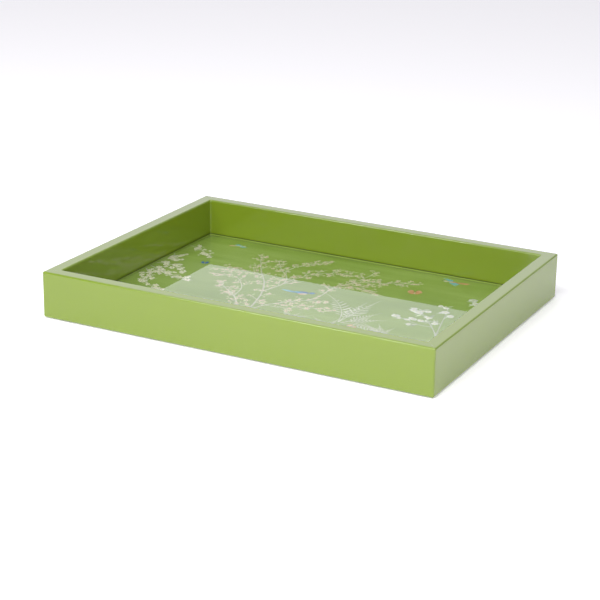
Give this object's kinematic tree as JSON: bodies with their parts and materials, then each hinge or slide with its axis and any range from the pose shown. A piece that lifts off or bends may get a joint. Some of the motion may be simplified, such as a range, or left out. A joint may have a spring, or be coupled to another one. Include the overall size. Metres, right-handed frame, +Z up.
{
  "type": "painted tray",
  "caption": "Rectangular gallery tray with mitred lacquered wooden rails and a painted floor of blossoms and birds under glass.",
  "frame": {"origin": "middle of the felt's underside, where the tray rests", "axes": "+X along the tray, +Y across it towards the back rail, +Z up out of the tray"},
  "size_m": [0.36, 0.27, 0.0415],
  "materials": {
    "lacquered_board": "high-gloss green lacquer over fibreboard",
    "plywood": "bare plywood",
    "bare_board": "bare fibreboard",
    "pin_steel": "bright drawn wire",
    "painted_card": "painted with flowers, ferns and birds",
    "clear_glass": "polished",
    "felt": "pressed wool felt"
  },
  "bodies": {
    "root": {"front_rail": "lacquered_board", "back_rail": "lacquered_board", "left_rail": "lacquered_board", "right_rail": "lacquered_board", "front_left_spline": "plywood", "front_right_spline": "plywood", "back_left_spline": "plywood", "back_right_spline": "plywood", "base_board": "bare_board", "panel_pins": "pin_steel", "painted_panel": "painted_card", "glass_insert": "clear_glass", "felt_base": "felt"}
  },
  "joints": []
}
